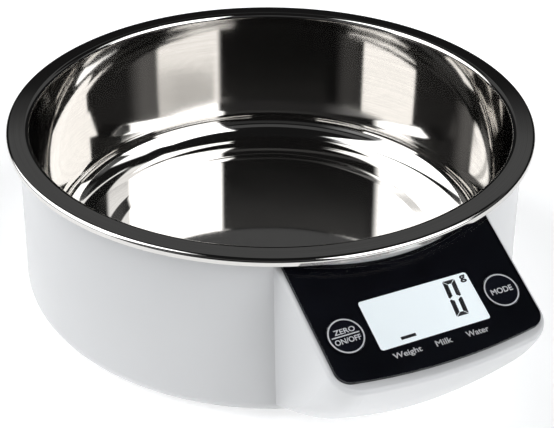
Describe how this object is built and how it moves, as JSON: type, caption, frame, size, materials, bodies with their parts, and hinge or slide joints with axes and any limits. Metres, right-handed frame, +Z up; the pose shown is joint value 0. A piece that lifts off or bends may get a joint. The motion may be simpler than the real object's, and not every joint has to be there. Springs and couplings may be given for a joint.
{
  "type": "kitchen scale",
  "caption": "Round kitchen scale: lift-out steel bowl in a white housing, with a sloping glass-fronted display console.",
  "frame": {"origin": "on the table, under the middle of the whole outline", "axes": "+Z up, the display console towards -Y, +X to the right when facing the display"},
  "size_m": [0.22, 0.2582, 0.0748],
  "materials": {
    "white_shell": "gloss moulded ABS",
    "white_plastic": "satin moulded ABS",
    "steel_bowl": "polished stainless, fine circular brush marks",
    "steel": "zinc plated",
    "spring_steel": "nickel plated strip",
    "cell_steel": "ground steel",
    "rubber": "matte",
    "resin": "silicone",
    "gauge_foil": "foil on polyimide",
    "board": "solder mask",
    "panel_glass": "polished",
    "black_print": "gloss black back print",
    "black_key": "gloss black",
    "switch": "nylon",
    "plunger": "nylon",
    "lcd": "lit display",
    "diffuser": "frosted acrylic",
    "led": "phosphor",
    "chip": "epoxy",
    "socket": "nylon",
    "wire": "PVC"
  },
  "bodies": {
    "housing": {"housing_shell": "white_shell", "base_plate": "white_plastic", "base_screws": "steel", "foot_rear_right": "rubber", "foot_rear_left": "rubber", "foot_front_left": "rubber", "foot_front_right": "rubber", "coin_cell": "steel", "battery_top_contact": "spring_steel", "battery_side_contact": "spring_steel", "load_cell": "cell_steel", "strain_gauges": "gauge_foil", "gauge_potting": "resin", "load_cell_screws": "steel", "terminal_board": "board", "panel_glass": "panel_glass", "panel_print": "black_print", "zero_switch": "switch", "mode_switch": "switch", "lcd_cell": "lcd", "lcd_diffuser": "diffuser", "light_guide": "diffuser", "lcd_frame": "white_plastic", "backlight_led": "led", "contact_strips": "rubber", "main_pcb": "board", "pcb_screws": "steel", "chip_blob": "chip", "converter_chip": "chip", "small_components": "chip", "load_cell_socket": "socket", "battery_socket": "socket", "load_cell_wires": "wire", "battery_wires": "wire"},
    "platform": {"weighing_platform": "white_plastic", "platform_screws": "steel"},
    "bowl": {"bowl": "steel_bowl"},
    "zero_key": {"zero_key": "black_key", "zero_plunger": "plunger"},
    "mode_key": {"mode_key": "black_key", "mode_plunger": "plunger"},
    "battery_door": {"battery_door": "white_plastic", "door_seal": "rubber"}
  },
  "joints": [
    {"name": "platform_press", "type": "slide", "parent": "housing", "child": "platform", "axis": [0, 0, 1], "range_m": [-0.0005, 0], "stiffness_N_per_m": 30000, "springref_m": 0.0005, "deforming": ["load_cell"]},
    {"name": "bowl_lift", "type": "slide", "parent": "platform", "child": "bowl", "axis": [0, 0, 1], "range_m": [0, 0.09]},
    {"name": "zero_key_press", "type": "slide", "parent": "housing", "child": "zero_key", "axis": [0, 0.4115, -0.9114], "range_m": [0, 0.0004], "stiffness_N_per_m": 1500, "springref_m": -0.0003},
    {"name": "mode_key_press", "type": "slide", "parent": "housing", "child": "mode_key", "axis": [0, 0.4115, -0.9114], "range_m": [0, 0.0004], "stiffness_N_per_m": 1500, "springref_m": -0.0003},
    {"name": "battery_door_turn", "type": "hinge", "parent": "housing", "child": "battery_door", "pos_m": [-0.028, -0.04285, 0.0014], "axis": [0, 0, 1], "range_deg": [0, 60]}
  ]
}
